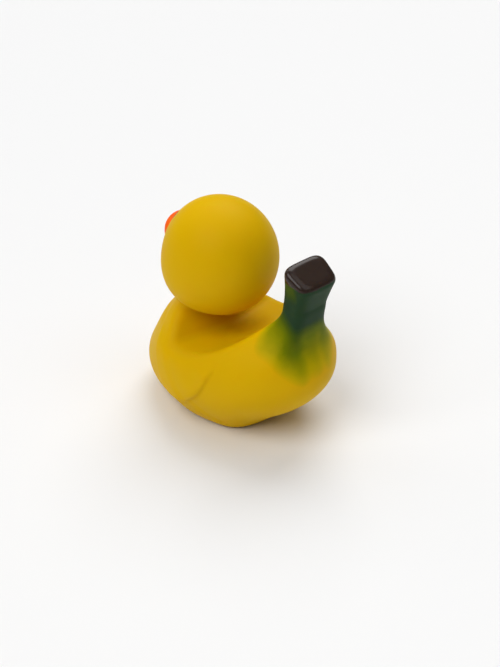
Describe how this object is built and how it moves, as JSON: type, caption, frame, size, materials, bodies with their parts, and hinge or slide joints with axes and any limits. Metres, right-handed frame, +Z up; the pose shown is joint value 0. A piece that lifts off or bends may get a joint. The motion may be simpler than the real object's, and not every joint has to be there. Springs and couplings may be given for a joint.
{
  "type": "rubber duck",
  "caption": "Hollow vinyl rubber duck with a ball head, orange bill, dished back, raised wings and an upright banana-stem tail, on a flat base.",
  "frame": {"origin": "middle of the flat base's level, below the centre of the duck's length and width", "axes": "the duck faces -Y, its left side is +X, and +Z is up; its shape is the same on both sides of X = 0"},
  "size_m": [0.036, 0.0502, 0.0484],
  "materials": {
    "painted_vinyl": "satin"
  },
  "bodies": {
    "root": {"duck_shell": "painted_vinyl"}
  },
  "joints": []
}
